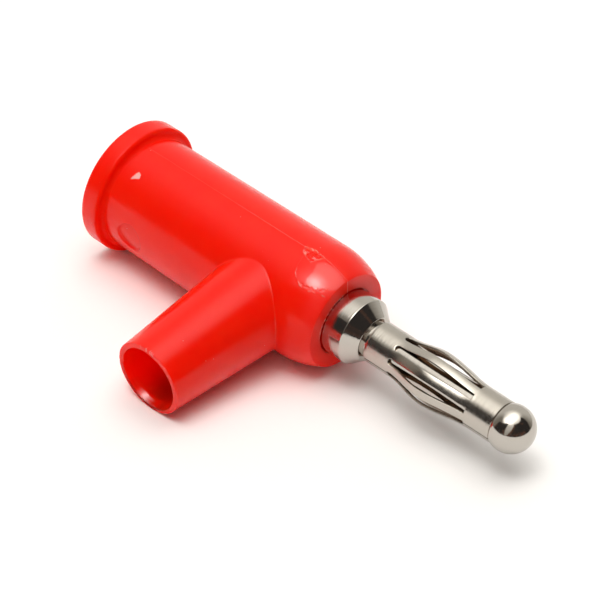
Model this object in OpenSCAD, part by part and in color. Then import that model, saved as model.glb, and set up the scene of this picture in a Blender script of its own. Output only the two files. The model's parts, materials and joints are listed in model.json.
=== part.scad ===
// Side-entry stackable banana plug for 4 mm sockets.
// The plug is drawn along its own axis, X from the rear flange to the ball tip,
// with the cable sleeve along -Y. At the end it is laid down as it rests on a table:
// on the flange's rim, the edge of the nose and the rim of the cable sleeve.

/* [Housing] */
// Diameter of the rear flange
flange_d = 11.3; // [10.6:0.1:14]
// Thickness of the rear flange
flange_t = 1.8; // [1.2:0.1:2.6]
// Rounding of the flange's two rims
flange_edge_r = 0.25; // [0.1:0.05:0.5]
// Fillet where the body meets the flange
root_fillet_r = 0.4; // [0.2:0.05:0.5]
// Body diameter at the flange
body_rear_d = 9.75; // [9.2:0.05:10]
// Body diameter where the nose starts to round off
body_front_d = 10; // [9.6:0.05:10.4]
// Length of the moulding from its rear face to its nose face
body_len = 24.3; // [23.5:0.1:30]
// Length of the rounded nose
nose_len = 3.5; // [2:0.1:3.6]
// Diameter of the flat nose face
nose_face_d = 8.2; // [7.4:0.1:8.8]

/* [Recesses] */
// Diameter of the rear recess, which takes the next plug's collar
rear_recess_d = 6.4; // [6:0.1:7.4]
// Depth of the rear recess
rear_recess_depth = 3; // [2:0.1:4]
// Lead-in chamfer of the rear recess
rear_chamfer = 0.35; // [0.1:0.05:0.6]
// Gap round the collar where it leaves the nose
front_recess_gap = 0.12; // [0.05:0.01:0.3]
// Depth of the front recess
front_recess_depth = 1.2; // [0.6:0.1:2]

/* [Cable sleeve] */
// Distance of the sleeve's axis from the rear face
sleeve_x = 17.6; // [16.6:0.1:18.2]
// Distance of the sleeve's mouth from the plug's axis
sleeve_reach = 15.05; // [11:0.05:20]
// Outer diameter at the mouth
sleeve_mouth_d = 6.38; // [6:0.02:6.8]
// Draft angle of the sleeve's outside
sleeve_draft = 3.9; // [1:0.1:4.5]
// Bore for the cable
cable_bore_d = 5.4; // [4:0.05:5.6]
// Wall between the floor of the cable bore and the core
cable_floor = 1.2; // [0.6:0.1:2]
// Passage for the bare wire through that wall
wire_passage_d = 3.2; // [2.8:0.1:3.8]

/* [Contact core] */
// Diameter of the turned barrel and of the collar in front of the nose
collar_d = 5.66; // [5.5:0.02:5.8]
// Length of the collar in front of the nose face
collar_len = 1.85; // [1:0.05:3]
// Length of the collar's cone
cone_len = 1.16; // [0.6:0.02:2]
// Diameter of the cone's small end
cone_small_d = 3.79; // [3.6:0.01:4.4]
// Diameter of the ball tip
ball_d = 3.9; // [3.8:0.01:4]
// Diameter of the flat shoulder behind the ball
ball_shoulder_d = 3.63; // [3.5:0.01:3.7]
// Distance of the core's rear end behind the floor of the rear recess
core_setback = 0.3; // [0.1:0.05:0.6]
// Bore of the rear socket, for a 4 mm pin
socket_d = 4.1; // [4.05:0.01:4.3]
// Wire hole in line with the cable sleeve
wire_hole_d = 2.6; // [2:0.1:3]
// Height of the snap ring that holds the core in the moulding
snap_rise = 0.2; // [0.1:0.02:0.3]
// Length of the snap ring
snap_len = 1; // [0.6:0.1:1.6]
// Distance of the snap ring from the rear face
snap_x = 8; // [6:0.1:10]

/* [Spring basket] */
// Outer diameter of the two end rings
basket_d = 3.57; // [3.4:0.01:3.6]
// Length of the basket
basket_len = 12.72; // [11.5:0.02:16]
// Thickness of the rolled sheet
sheet_t = 0.22; // [0.15:0.01:0.26]
// Number of spring leaves
leaf_count = 9; // [7:1:10]
// Width of one leaf
leaf_w = 0.72; // [0.6:0.02:0.94]
// Rise of the leaves above the end rings
bow_rise = 0.53; // [0.2:0.01:0.7]
// Distance of the slots from the rear end
slot_start = 2.65; // [1.9:0.05:2.9]
// Length of the slots
slot_len = 7.55; // [7:0.05:8.2]
// Diameter of the round rear end of a slot
slot_end_d = 0.54; // [0.5:0.01:0.7]
// Distance of the bow from the rear end
bow_start = 2.45; // [2:0.05:2.9]
// Length of the bow
bow_len = 8.15; // [7.4:0.05:8.6]
// Distance of the leaves' crest from the start of the bow
crest_at = 3.5; // [3:0.05:4.5]
// Width of the seam where the sheet's two edges meet
seam_w = 0.08; // [0.04:0.01:0.12]
// Turn of the seam about the plug's axis
seam_turn = 194; // [0:1:359]
// Free play of the basket along the neck
basket_play = 0.47; // [0.3:0.01:0.8]

/* [Clamp screw] */
// Pitch diameter of the screw's thread
screw_d = 3.5; // [3:0.05:3.6]
// Length of the screw
screw_len = 3; // [2.5:0.1:3.4]
// Width of the driver slot
driver_slot_w = 0.6; // [0.4:0.05:0.8]
// Depth of the driver slot
driver_slot_depth = 0.9; // [0.5:0.05:1.2]
// Diameter of the flat point that presses on the wire
screw_point_d = 2.2; // [1.6:0.1:2.6]
// Chamfer of the screw's rear end
screw_chamfer = 0.25; // [0.1:0.05:0.4]

/* [Clearances] */
// Radial gap between pieces that are pushed together
seat_gap = 0.02; // [0.01:0.01:0.04]
// Radial gap between pieces that turn or slide
running_gap = 0.05; // [0.03:0.01:0.08]
// Gap between the basket's front end and the ball's shoulder
shoulder_gap = 0.06; // [0.04:0.01:0.1]

/* [Hidden] */
$fn = 96;

// Overlap of cutting tools past the faces that they cut
over = 1;
// Stations along the bow of a leaf
bow_steps = 18;
// Half the tip angle of a twist drill
drill_half_angle = 59;
// Wall left between the wire hole and the end of the tapped hole
tap_run_out = 0.5;
// Thread left behind the screw when it is backed off
tap_lead = 0.4;
// Gap between the backed-off screw and the wire hole
screw_rest_gap = 0.13;
// Chamfer of the core's rear end, outside and at the socket's mouth
core_chamfer = 0.25;

// Radii that several pieces share
flange_r = flange_d / 2;
body_front_r = body_front_d / 2;
barrel_r = collar_d / 2;
bore_r = barrel_r + seat_gap;
ring_r = basket_d / 2;
ring_inner_r = ring_r - sheet_t;
neck_r = ring_inner_r - running_gap;
ball_r = ball_d / 2;
shoulder_r = ball_shoulder_d / 2;
screw_r = screw_d / 2;
tap_r = screw_r + running_gap;
sleeve_mouth_r = sleeve_mouth_d / 2;

// Stations along the plug's axis
core_x = rear_recess_depth + core_setback;
nose_x = body_len - nose_len;
collar_x = body_len + collar_len;
neck_x = collar_x + cone_len;
basket_x = neck_x + basket_play;
shoulder_x = basket_x + basket_len + shoulder_gap;
ball_x = shoulder_x + sqrt(ball_r * ball_r - shoulder_r * shoulder_r);
screw_x = sleeve_x - wire_hole_d / 2 - screw_rest_gap - screw_len;
tap_x = screw_x - tap_lead;
tap_end_x = sleeve_x + wire_hole_d / 2 + tap_run_out;

// The nose is an arc that leaves the body level and ends on the nose face
nose_drop = body_front_r - nose_face_d / 2;
nose_r = (nose_len * nose_len + nose_drop * nose_drop) / (2 * nose_drop);

// Resting pose: pitch from the flange's front rim to the nose arc, then roll
// about the plug's axis until the mouth of the sleeve meets the table
rim_x = flange_t - flange_edge_r;
rim_r = flange_r - flange_edge_r;
arc_run = nose_x - rim_x;
arc_rise = rim_r - (body_front_r - nose_r);
arc_diff = nose_r - flange_edge_r;
pitch = acos(arc_diff / norm([arc_run, arc_rise])) - atan2(arc_run, arc_rise);
axis_height = sin(pitch) * rim_x + cos(pitch) * rim_r + flange_edge_r;
sleeve_height = axis_height - sin(pitch) * sleeve_x;
sleeve_dip = asin(sleeve_height / norm([sleeve_reach, sleeve_mouth_r])) - atan2(sleeve_mouth_r, sleeve_reach);
roll = asin(sin(sleeve_dip) / cos(pitch));

// Middle of the laid plug's box, seen from above
low_x = flange_edge_r * cos(pitch) - rim_r * sin(pitch) - flange_edge_r;
high_x = ball_x * cos(pitch) + ball_r;
low_y = -sleeve_reach * cos(roll) - sleeve_mouth_r * sin(roll);
high_y = flange_r;

module lay_down() {
    translate([-(low_x + high_x) / 2, -(low_y + high_y) / 2, axis_height])
        rotate([0, pitch, 0])
            rotate([roll, 0, 0])
                children();
}

// Turns an outline of (radius, distance along the axis) about the plug's axis
module turned() {
    rotate([0, 90, 0])
        rotate_extrude()
            children();
}

module along_axis(from, to, r) {
    translate([from, 0, 0])
        rotate([0, 90, 0])
            cylinder(h = to - from, r = r);
}

// Outline of the flange, with both rims rounded
module flange_outline() {
    square([rim_r, flange_t]);
    translate([0, flange_edge_r])
        square([flange_r, flange_t - 2 * flange_edge_r]);
    for (y = [flange_edge_r, rim_x])
        translate([rim_r, y])
            circle(flange_edge_r);
}

// Outline of the drafted body, its rounded nose and the fillet at the flange
module body_outline() {
    rear_r = body_rear_d / 2;
    polygon([[0, 0], [rear_r, 0], [body_front_r, nose_x], [0, nose_x]]);
    intersection() {
        translate([body_front_r - nose_r, nose_x])
            circle(nose_r, $fn = 4 * $fn);
        translate([0, nose_x - over])
            square([body_front_r, nose_len + over]);
    }
    difference() {
        translate([rear_r - over, flange_t])
            square([over + root_fillet_r, root_fillet_r]);
        translate([rear_r + root_fillet_r, flange_t + root_fillet_r])
            circle(root_fillet_r);
    }
}

// Outline of the snap ring: a ramp towards the rear and a square step in front
module snap_outline(gap) {
    polygon([
        [0, snap_x - gap],
        [barrel_r, snap_x - gap],
        [barrel_r + snap_rise + gap, snap_x + snap_len],
        [barrel_r + snap_rise + gap, snap_x + snap_len + gap],
        [0, snap_x + snap_len + gap]
    ]);
}

module sleeve_outside() {
    root_r = sleeve_mouth_r + sleeve_reach * tan(sleeve_draft);
    translate([sleeve_x, 0, 0])
        rotate([90, 0, 0])
            cylinder(h = sleeve_reach, r1 = root_r, r2 = sleeve_mouth_r);
}

// Round hole along the sleeve's axis, between two distances from the plug's axis
module sleeve_bore(from, to, d) {
    translate([sleeve_x, -from, 0])
        rotate([90, 0, 0])
            cylinder(h = to - from, d = d);
}

// Red moulding: body, rear flange and cable sleeve in one piece
module housing() {
    rear_r = rear_recess_d / 2;
    color("red")
        lay_down()
            difference() {
                union() {
                    turned() {
                        flange_outline();
                        body_outline();
                    }
                    sleeve_outside();
                }
                along_axis(rear_recess_depth - over, body_len + over, bore_r);
                along_axis(-over, rear_recess_depth, rear_r);
                translate([-over, 0, 0])
                    rotate([0, 90, 0])
                        cylinder(h = over + rear_chamfer, r1 = rear_r + rear_chamfer + over, r2 = rear_r);
                along_axis(body_len - front_recess_depth, body_len + over, barrel_r + front_recess_gap);
                turned()
                    snap_outline(seat_gap);
                sleeve_bore(bore_r + cable_floor, sleeve_reach + over, cable_bore_d);
                sleeve_bore(0, bore_r + cable_floor + over, wire_passage_d);
            }
}

// Outline of the core: barrel, collar, cone, neck and ball
module core_outline() {
    polygon([
        [0, core_x],
        [barrel_r - core_chamfer, core_x],
        [barrel_r, core_x + core_chamfer],
        [barrel_r, collar_x],
        [cone_small_d / 2, neck_x],
        [neck_r, neck_x],
        [neck_r, shoulder_x + over / 2],
        [0, shoulder_x + over / 2]
    ]);
    snap_outline(0);
    intersection() {
        translate([0, ball_x])
            circle(ball_r);
        translate([0, shoulder_x])
            square([ball_d, ball_d]);
    }
}

// Socket, tapped hole and drill tip, bored from the rear
module core_bores_outline() {
    socket_r = socket_d / 2;
    polygon([
        [0, core_x - over],
        [socket_r + core_chamfer + over, core_x - over],
        [socket_r, core_x + core_chamfer],
        [socket_r, tap_x],
        [tap_r, tap_x],
        [tap_r, tap_end_x],
        [0, tap_end_x + tap_r / tan(drill_half_angle)]
    ]);
}

// Turned contact: rear socket, clamping bore, collar, neck and ball in one piece
module contact_core() {
    color("silver")
        lay_down()
            difference() {
                turned()
                    core_outline();
                turned()
                    core_bores_outline();
                sleeve_bore(0, barrel_r + over, wire_hole_d);
            }
}

// Radius of the sheet's outside at a distance x from the start of the bow
function bow_half(x) = x < crest_at ? x / crest_at : (bow_len - x) / (bow_len - crest_at);
function bow_r(x) = ring_r + bow_rise * pow(sin(90 * bow_half(x)), 2);
// The leaves keep their width, so the slots open where the leaves stand out
function slot_w(r) = 2 * PI * r / leaf_count - leaf_w;

// Section through the rolled sheet along one leaf
module sheet_outline() {
    outside = [for (i = [0 : bow_steps]) let (x = i * bow_len / bow_steps) [bow_r(x), bow_start + x]];
    inside = [for (i = [bow_steps : -1 : 0]) outside[i] - [sheet_t, 0]];
    translate([0, basket_x])
        polygon(concat(
            [[ring_inner_r, 0], [ring_r, 0]],
            outside,
            [[ring_r, basket_len], [ring_inner_r, basket_len]],
            inside
        ));
}

// Slot between two leaves: two arcs for its sides and a round rear end
module slot_outline() {
    middle_w = slot_w(ring_r + bow_rise);
    sag = (middle_w - slot_w(ring_r)) / 2;
    side_r = (slot_len * slot_len / 4 + sag * sag) / (2 * sag);
    intersection() {
        translate([0, -middle_w])
            square([slot_len, 2 * middle_w]);
        translate([slot_len / 2, middle_w / 2 - side_r])
            circle(side_r, $fn = 8 * $fn);
        translate([slot_len / 2, side_r - middle_w / 2])
            circle(side_r, $fn = 8 * $fn);
    }
    circle(d = slot_end_d);
}

// Cutter that stands out from the neck at a turn about the axis
module radial_cut(turn) {
    reach = ring_r + bow_rise + over;
    rotate([turn, 0, 0])
        translate([basket_x, 0, 0])
            rotate([-90, 0, 0])
                translate([0, 0, neck_r / 2])
                    linear_extrude(height = reach)
                        children();
}

// Spring basket: sheet rolled to a tube, slotted and bowed into leaves
module spring_basket() {
    color("gainsboro")
        lay_down()
            difference() {
                turned()
                    sheet_outline();
                for (i = [0 : leaf_count - 1])
                    radial_cut(seam_turn + i * 360 / leaf_count) {
                        translate([slot_start, 0])
                            slot_outline();
                        if (i == 0)
                            translate([-over, -seam_w / 2])
                                square([basket_len + 2 * over, seam_w]);
                    }
            }
}

// Outline of the grub screw: chamfered rear end and a flat point
module screw_outline() {
    point_len = screw_r - screw_point_d / 2;
    translate([0, screw_x])
        polygon([
            [0, 0],
            [screw_r - screw_chamfer, 0],
            [screw_r, screw_chamfer],
            [screw_r, screw_len - point_len],
            [screw_point_d / 2, screw_len],
            [0, screw_len]
        ]);
}

// Slotted grub screw that clamps the wire, reached through the rear socket
module clamp_screw() {
    color("darkgray")
        lay_down()
            difference() {
                turned()
                    screw_outline();
                translate([screw_x - over, -screw_d, -driver_slot_w / 2])
                    cube([over + driver_slot_depth, 2 * screw_d, driver_slot_w]);
            }
}

housing();
contact_core();
spring_basket();
clamp_screw();
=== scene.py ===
import json
import math

import bmesh
import bpy
from mathutils import Matrix, Vector, noise


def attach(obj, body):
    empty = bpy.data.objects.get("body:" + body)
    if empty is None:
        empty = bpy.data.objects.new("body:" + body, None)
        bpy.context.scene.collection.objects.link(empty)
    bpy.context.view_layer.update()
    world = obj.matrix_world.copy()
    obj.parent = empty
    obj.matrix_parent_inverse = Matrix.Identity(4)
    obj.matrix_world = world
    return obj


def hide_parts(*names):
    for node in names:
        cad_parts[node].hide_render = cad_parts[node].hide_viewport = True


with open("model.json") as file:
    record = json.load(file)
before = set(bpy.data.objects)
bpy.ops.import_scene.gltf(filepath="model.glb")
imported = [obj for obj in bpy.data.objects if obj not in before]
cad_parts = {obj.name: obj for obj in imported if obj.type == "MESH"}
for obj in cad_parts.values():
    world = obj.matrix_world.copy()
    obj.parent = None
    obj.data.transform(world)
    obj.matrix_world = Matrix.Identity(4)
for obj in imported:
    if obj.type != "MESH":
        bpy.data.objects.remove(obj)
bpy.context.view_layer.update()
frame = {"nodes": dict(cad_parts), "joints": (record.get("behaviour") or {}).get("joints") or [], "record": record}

MM = 0.001
NEAR = 1e-6

# Sizes in mm in the plug's own frame: x from the rear face to the tip, r from the axis
CORE_REAR = 3.3
CORE_CHAMFER = 0.25
BARREL_R = 2.83
SOCKET_R = 2.05
SNAP_FROM, SNAP_TO, SNAP_R = 8.0, 9.0, 3.03
TAP_FROM, TAP_TO, TAP_R = 12.77, 19.4, 1.8
DRILL_TIP = 20.48
COLLAR_END = 26.15
CONE_END, CONE_R = 27.31, 1.895
NECK_R = 1.515
SHOULDER_X, SHOULDER_R = 40.56, 1.815
BALL_X, BALL_R = 41.2729, 1.95
SLEEVE_X = 17.6
WIRE_HOLE_R = 1.3

FLANGE_R, FLANGE_T, FLANGE_EDGE, ROOT_FILLET = 5.65, 1.8, 0.25, 0.4
BODY_REAR_R, BODY_FRONT_R = 4.875, 5.0
NOSE_X, NOSE_ARC_R, NOSE_FACE_R = 20.8, 7.2556, 4.1
NOSE_LAST_X = 24.22
BODY_LEN = 24.3
SEAT_R = 2.85
FLASH_X, FRONT_RECESS_R = 24.1, 2.92
REAR_RECESS_X, REAR_RECESS_R, REAR_CHAMFER = 3.0, 3.2, 0.35
GROOVE_FROM, GROOVE_TO, GROOVE_R = 8.07, 9.02, 3.05
SLEEVE_REACH, MOUTH_R = 15.05, 3.19
SLEEVE_ROOT = 3.3
SLEEVE_DRAFT = math.radians(3.9)
MOUTH_BAND = 0.3
CABLE_R, CABLE_FLOOR = 2.7, 4.05
PASSAGE_R = 1.6
JUNCTION_FILLET, JUNCTION_UNDER = 0.14, 0.015

BASKET_FROM = 27.78
BASKET_LEN = 12.72
RING_R = 1.785
SHEET_T = 0.22
LEAVES = 9
LEAF_PITCH = 2 * math.pi / LEAVES
SLOT_FROM, SLOT_TO = 2.38, 10.2
SLOT_HALF = 0.263
SLOT_CORNER = 0.05
BOW_FROM, BOW_LEN, BOW_CREST, BOW_RISE = 2.45, 8.15, 3.5, 0.53
SEAM_TURN = math.radians(194)
SEAM_HALF = 0.06
TWISTS = [math.radians(a) for a in (1.5, -2, 2.5, -1, 2, -1.5, -4, -6.5, -2)]
TWIST_START, TWIST_END = (4.5, 7), (10.2, 9.2)
EDGE_CUT = 0.018
BEVEL_W, BEVEL_DROP = 0.035, 0.008
FRONT_CUT = 0.09
FRONT_EDGE_SHADE = 0.8

# Steps of the meshes
TURN_STEPS = 192
CORNER_STEPS = 4
BALL_STEPS = 64
SLEEVE_STEPS, SLEEVE_ROWS, FILLET_STEPS = 240, 14, 6
SLOT_END_STEPS, SLOT_STEPS, SLOT_CORNER_STEPS, FRONT_RING_STEPS = 8, 64, 4, 10
MERGE, THIN, SLIVER = 0.0005, 0.0002, 0.001
RED_SHARP, PLATE_SHARP, SHEET_SHARP = 30, 35, 32

# The moulding's grid, finer at its marks: (from, to, step) in mm along the axis and degrees round it
BODY_ROWS = [(2.2, 3.15, 0.19), (3.15, 6.3, 0.065), (6.3, 19.6, 0.35), (19.6, 22.0, 0.04),
             (22.0, NOSE_LAST_X, 0.07)]
BODY_TURNS = [(0, 80, 2.5), (80, 86, 0.6), (86, 100, 0.22), (100, 128, 0.65), (128, 162, 2), (162, 200, 0.7),
              (200, 267.5, 2.5), (267.5, 272.5, 0.5), (272.5, 360, 2.5)]
BORE_ROWS = [(CABLE_FLOOR, 13.8, 0.5), (13.8, SLEEVE_REACH - 0.06, 0.05)]
REAR_FACE_RINGS = (3.66, 3.9, 4.3, 4.8, 5.2)
RIM_ROWS = (0.5, 0.9, 1.3)
NOSE_FACE_RINGS = (3.9, 3.8, 3.7, 3.6, 3.5, 3.4, 3.32, 3.26, 3.2, 3.14, 3.08, 3.02)
MOUTH_RINGS = (3.08, 3.0, 2.92, 2.84, 2.6)

# The basket's grid: from its rear end, past the slots' front ends, and across half a leaf
REAR_RING_ROWS = (0, 0.03, 0.2, 0.6, 1.0, 1.4, 1.8, 2.1, 2.25, 2.29, 2.305, 2.33, 2.36)
PAST_SLOT_ROWS = (0.03, 0.06, 0.075, 0.09, 0.15)
PAST_SLOT_END = 0.3
HALF_LEAF = [0, 0.02, 0.06, 0.09, 0.104, 0.12, 0.18, 0.26, 0.34, 0.42]


def plug_matrix():
    """Matrix from the plug's own frame, in mm, to the row frame, in metres."""
    spin = next(j for j in frame["joints"] if j["name"] == "basket_spin")
    entry = next(m for m in frame["record"]["mounts"] if m["name"] == "cable_entry")
    along = Vector(spin["axis"]).normalized()
    across = -Vector(entry["axis"]).normalized()
    above = along.cross(across)
    turn = Matrix((along, across, above)).transposed().to_4x4()
    start = Vector(spin["pos_m"]) - along * (BASKET_FROM + BASKET_LEN / 2) * MM
    return Matrix.Translation(start) @ turn @ Matrix.Scale(MM, 4)


PLUG = plug_matrix()


# Node helpers

def new_material(name):
    mat = bpy.data.materials.new(name)
    mat.use_nodes = True
    tree = mat.node_tree
    return mat, tree, tree.nodes["Principled BSDF"]


def add(tree, kind, **values):
    """New node; values set its properties, or its inputs by name with _ for a space."""
    n = tree.nodes.new(kind)
    for key, value in values.items():
        if hasattr(n, key):
            setattr(n, key, value)
        else:
            n.inputs[key.replace("_", " ")].default_value = value
    return n


def link(tree, a, b):
    tree.links.new(a, b)


def plug_coords(tree):
    """Position in the plug's own frame, in mm."""
    back = PLUG.inverted()
    coord = add(tree, "ShaderNodeTexCoord")
    place = add(tree, "ShaderNodeMapping", vector_type="POINT")
    place.inputs["Location"].default_value = back.translation
    place.inputs["Rotation"].default_value = back.to_euler()
    place.inputs["Scale"].default_value = back.to_scale()
    link(tree, coord.outputs["Object"], place.inputs["Vector"])
    return place.outputs["Vector"]


def round_coords(tree):
    """Sockets for the distance along the plug's axis in mm and the turn about it in radians."""
    parts = add(tree, "ShaderNodeSeparateXYZ")
    link(tree, plug_coords(tree), parts.inputs["Vector"])
    return parts.outputs["X"], calc(tree, "ARCTAN2", parts.outputs["Z"], parts.outputs["Y"])


def calc(tree, operation, a, b=0.0):
    """Math node on sockets or numbers."""
    n = add(tree, "ShaderNodeMath", operation=operation)
    for place, value in zip(n.inputs, (a, b)):
        if isinstance(value, (int, float)):
            place.default_value = value
        else:
            link(tree, value, place)
    return n.outputs["Value"]


def lathe_lines(tree, per_mm, per_turn, detail):
    """Noise drawn out round the plug's axis, as turning or brushing leaves it."""
    along, turn = round_coords(tree)
    both = add(tree, "ShaderNodeCombineXYZ")
    link(tree, calc(tree, "MULTIPLY", along, per_mm), both.inputs["X"])
    link(tree, calc(tree, "MULTIPLY", turn, per_turn), both.inputs["Y"])
    lines = add(tree, "ShaderNodeTexNoise", Scale=1.0, Detail=detail, Roughness=0.6)
    link(tree, both.outputs["Vector"], lines.inputs["Vector"])
    return lines.outputs["Fac"]


def spots(tree, scale, detail):
    """Noise with so many spots per mm."""
    n = add(tree, "ShaderNodeTexNoise", Scale=scale, Detail=detail, Roughness=0.55)
    link(tree, plug_coords(tree), n.inputs["Vector"])
    return n.outputs["Fac"]


def mapped(tree, socket, low, high, to_low, to_high):
    n = add(tree, "ShaderNodeMapRange", interpolation_type="SMOOTHSTEP")
    n.inputs["From Min"].default_value = low
    n.inputs["From Max"].default_value = high
    n.inputs["To Min"].default_value = to_low
    n.inputs["To Max"].default_value = to_high
    link(tree, socket, n.inputs["Value"])
    return n.outputs["Result"]


def varied(tree, socket, low, high):
    """Noise spread over a range of values."""
    return mapped(tree, socket, 0.3, 0.7, low, high)


def mixed(tree, factor, a, b):
    """Mix of two colours, each a socket or a constant."""
    n = add(tree, "ShaderNodeMix", data_type="RGBA")
    for place, value in ((n.inputs[6], a), (n.inputs[7], b)):
        if isinstance(value, tuple):
            place.default_value = (*value, 1)
        else:
            link(tree, value, place)
    link(tree, factor, n.inputs["Factor"])
    return n.outputs[2]


def marked(tree, name):
    """How strongly a mesh's own attribute marks this place."""
    n = add(tree, "ShaderNodeAttribute", attribute_type="GEOMETRY", attribute_name=name)
    return n.outputs["Fac"]


def bump(tree, height, depth_mm, before=None):
    n = add(tree, "ShaderNodeBump", Strength=1.0, Distance=depth_mm * MM)
    link(tree, height, n.inputs["Height"])
    if before is not None:
        link(tree, before, n.inputs["Normal"])
    return n.outputs["Normal"]


# Materials: colours, roughness from low to high, and depths of bumps in mm

RED_DEEP, RED_BRIGHT, RED_PALE_MARK_AND_GLINT = (0.97, 0.009, 0.0016), (0.99, 0.013, 0.0022), (0.90, 0.52, 0.46)
RED_SMOOTH, RED_ROUGH = 0.17, 0.24
RED_IOR = 1.5
RED_SPREAD, BORE_SPREAD = 1.0, 5.0
LIGHT_REACH = (1.0, 0.1, 0.05)
SPECKS_PER_MM, SPECK_CORE, SPECK_EDGE, SPECK_PALE = 0.8, 0.015, 0.042, 0.4
RED_SKIN, RED_WAVES = 0.0008, 0.006

PLATE_DULL, PLATE_BRIGHT = (0.56, 0.52, 0.47), (0.61, 0.575, 0.525)
PLATE_SMOOTH, PLATE_ROUGH = 0.06, 0.15
PLATE_LINES, PLATE_DENTS = 0.006, 0.004
FAINT_FROM, FAINT_TO, FAINT_LINES = 27.3, 27.6, 0.3

SHEET_DULL, SHEET_BRIGHT, SHEET_SHADE = (0.55, 0.51, 0.455), (0.61, 0.57, 0.51), (0.16, 0.09, 0.05)
SHEET_SMOOTH, SHEET_ROUGH = 0.14, 0.27
SHEET_LINES, SHEET_DENTS = 0.008, 0.005
SHEET_BRUSHED = 0.45

STEEL_DULL, STEEL_BRIGHT = (0.46, 0.45, 0.42), (0.58, 0.57, 0.55)
STEEL_SMOOTH, STEEL_ROUGH = 0.25, 0.4
STEEL_GRAIN = 0.006


def red_moulding(name, polish, gloss, spread):
    """Satin red plastic: polish scales its roughness, gloss is its specular level, light spreads in it."""
    mat, tree, shader = new_material(name)
    red = mixed(tree, varied(tree, spots(tree, 0.3, 3), 0, 1), RED_DEEP, RED_BRIGHT)
    cells = add(tree, "ShaderNodeTexVoronoi", feature="F1", Scale=SPECKS_PER_MM)
    link(tree, plug_coords(tree), cells.inputs["Vector"])
    specks = mapped(tree, cells.outputs["Distance"], SPECK_CORE, SPECK_EDGE, SPECK_PALE, 0)
    # The pale colour marks chips, flash, specks and other real marks, and also the painted highlights and glints
    # that the mesh's pale attribute carries.
    pale = calc(tree, "MAXIMUM", marked(tree, "pale"), specks)
    link(tree, mixed(tree, pale, red, RED_PALE_MARK_AND_GLINT), shader.inputs["Base Color"])
    satin = varied(tree, spots(tree, 1.3, 4), RED_SMOOTH * polish, RED_ROUGH * polish)
    link(tree, satin, shader.inputs["Roughness"])
    skin = bump(tree, spots(tree, 7, 3), RED_SKIN)
    link(tree, bump(tree, spots(tree, 0.6, 2), RED_WAVES, skin), shader.inputs["Normal"])
    shader.inputs["IOR"].default_value = RED_IOR
    shader.inputs["Specular IOR Level"].default_value = gloss
    shader.inputs["Subsurface Weight"].default_value = 1.0
    shader.inputs["Subsurface Radius"].default_value = LIGHT_REACH
    shader.inputs["Subsurface Scale"].default_value = spread * MM
    return mat


def nickel_plate():
    """Turned brass under bright plate; its lathe lines are faint on the neck and the ball."""
    mat, tree, shader = new_material("nickel_plate")
    shader.inputs["Metallic"].default_value = 1.0
    link(tree, mixed(tree, spots(tree, 0.9, 4), PLATE_DULL, PLATE_BRIGHT), shader.inputs["Base Color"])
    rough = varied(tree, lathe_lines(tree, 18, 3, 4), PLATE_SMOOTH, PLATE_ROUGH)
    link(tree, rough, shader.inputs["Roughness"])
    along = round_coords(tree)[0]
    cut = mapped(tree, along, FAINT_FROM, FAINT_TO, 1, FAINT_LINES)
    lines = bump(tree, calc(tree, "MULTIPLY", lathe_lines(tree, 8, 1.5, 3), cut), PLATE_LINES)
    link(tree, bump(tree, spots(tree, 2.2, 3), PLATE_DENTS, lines), shader.inputs["Normal"])
    return mat


def nickel_sheet():
    """Brushed, plated spring sheet, with painted shade in dark brown over its whole inner side and on its front
    cut edge, which is bare metal as well.
    """
    mat, tree, shader = new_material("nickel_sheet")
    shader.inputs["Metallic"].default_value = 1.0
    bright = mixed(tree, spots(tree, 1.1, 4), SHEET_DULL, SHEET_BRIGHT)
    # Painted shade: dark brown where the mesh marks it.
    link(tree, mixed(tree, marked(tree, "bare"), bright, SHEET_SHADE), shader.inputs["Base Color"])
    rough = varied(tree, lathe_lines(tree, 14, 2.5, 5), SHEET_SMOOTH, SHEET_ROUGH)
    link(tree, rough, shader.inputs["Roughness"])
    lines = bump(tree, lathe_lines(tree, 9, 1.3, 4), SHEET_LINES)
    link(tree, bump(tree, spots(tree, 1.8, 3), SHEET_DENTS, lines), shader.inputs["Normal"])
    shader.inputs["Anisotropic"].default_value = SHEET_BRUSHED
    tangent = add(tree, "ShaderNodeTangent", direction_type="RADIAL", axis="X")
    link(tree, tangent.outputs["Tangent"], shader.inputs["Tangent"])
    return mat


def screw_steel():
    mat, tree, shader = new_material("screw_steel")
    shader.inputs["Metallic"].default_value = 1.0
    link(tree, mixed(tree, spots(tree, 1.5, 4), STEEL_DULL, STEEL_BRIGHT), shader.inputs["Base Color"])
    link(tree, varied(tree, spots(tree, 6, 4), STEEL_SMOOTH, STEEL_ROUGH), shader.inputs["Roughness"])
    link(tree, bump(tree, spots(tree, 7, 4), STEEL_GRAIN), shader.inputs["Normal"])
    return mat


RED = red_moulding("red_moulding", 1.0, 0.28, RED_SPREAD)
RED_POLISHED = red_moulding("red_polished", 0.53, 0.65, RED_SPREAD)
RED_ROOT = red_moulding("red_root", 2.0, 0.05, RED_SPREAD)
# The bore's lit copy of the red: light spreads five times farther in it, so the bore's inside renders lighter;
# this is painted light.
RED_BORE_LIT = red_moulding("red_bore_lit", 1.0, 0.28, BORE_SPREAD)
PLATE = nickel_plate()
SHEET = nickel_sheet()
STEEL = screw_steel()


# Mesh helpers

def shaded(mesh, sharp_deg):
    mesh.shade_smooth()
    mesh.set_sharp_from_angle(angle=math.radians(sharp_deg))


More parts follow.
